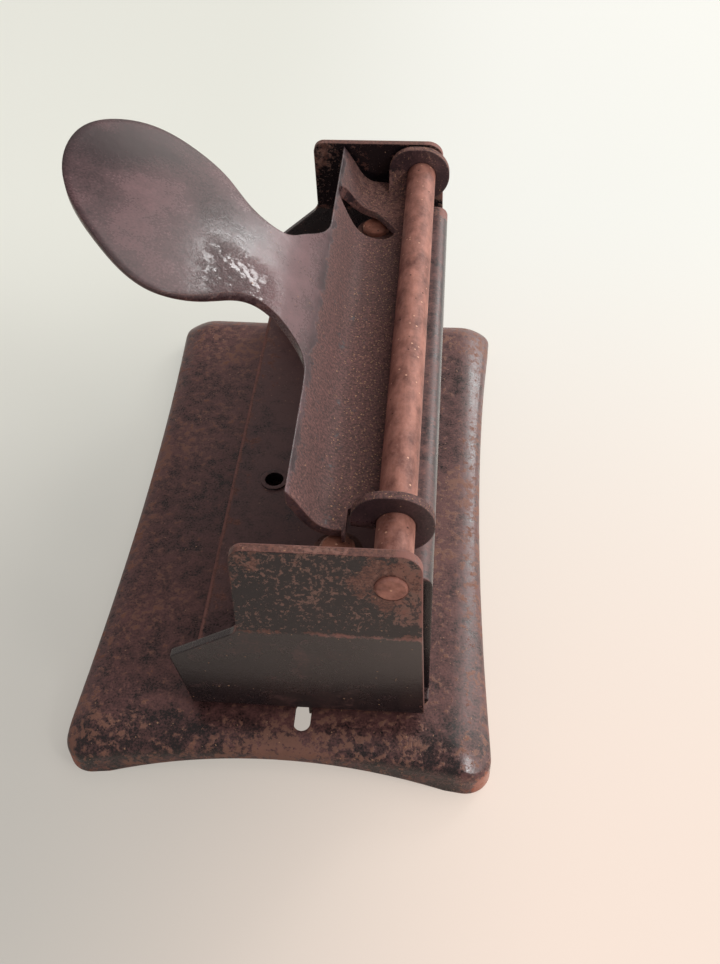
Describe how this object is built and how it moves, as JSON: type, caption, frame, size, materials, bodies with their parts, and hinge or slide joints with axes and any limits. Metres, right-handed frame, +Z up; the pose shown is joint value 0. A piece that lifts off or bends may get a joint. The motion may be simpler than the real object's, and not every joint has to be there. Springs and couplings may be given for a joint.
{
  "type": "two-hole paper punch",
  "caption": "Small desk paper punch of pressed and folded sheet steel: a spoon-shaped lever turns on a long axle and drives a pair of sprung pins through the paper into the base.",
  "frame": {"origin": "middle of the base, on the surface that it stands on", "axes": "+X from the front, where the paper goes in, to the back wall; +Y along the axle, away from the camera; +Z up"},
  "size_m": [0.0668, 0.11, 0.0743],
  "materials": {
    "black_enamel": "worn gloss enamel",
    "rusted_steel": "bare steel, rusted brown",
    "tool_steel": "ground",
    "spring_steel": "drawn wire"
  },
  "bodies": {
    "stand": {"base_plate": "black_enamel", "cutting_strip": "tool_steel", "paper_stop": "rusted_steel", "punch_frame": "black_enamel", "frame_rivets": "rusted_steel", "axle_rod": "rusted_steel", "near_guide_bush": "rusted_steel", "far_guide_bush": "rusted_steel", "near_return_spring": "spring_steel", "far_return_spring": "spring_steel"},
    "lever": {"lever": "black_enamel"},
    "near_pin": {"near_punch_pin": "rusted_steel", "near_pin_collar": "rusted_steel"},
    "far_pin": {"far_punch_pin": "rusted_steel", "far_pin_collar": "rusted_steel"}
  },
  "joints": [
    {"name": "lever_hinge", "type": "hinge", "parent": "stand", "child": "lever", "pos_m": [0.01812, 0, 0.04443], "axis": [0, -1, 0], "range_deg": [0, 30], "stiffness_Nm_per_rad": 0.25, "springref_deg": -22.92},
    {"name": "near_pin_slide", "type": "slide", "parent": "stand", "child": "near_pin", "axis": [0, 0, -1], "range_m": [0, 0.0045], "stiffness_N_per_m": 0.3, "springref_m": -0.155, "deforming": ["near_return_spring"]},
    {"name": "far_pin_slide", "type": "slide", "parent": "stand", "child": "far_pin", "axis": [0, 0, -1], "range_m": [0, 0.0045], "stiffness_N_per_m": 0.3, "springref_m": -0.155, "deforming": ["far_return_spring"]}
  ],
  "couplings": [
    {"joint": "near_pin_slide", "follows": "lever_hinge", "m_per_rad": 0.00812},
    {"joint": "far_pin_slide", "follows": "lever_hinge", "m_per_rad": 0.00812}
  ]
}
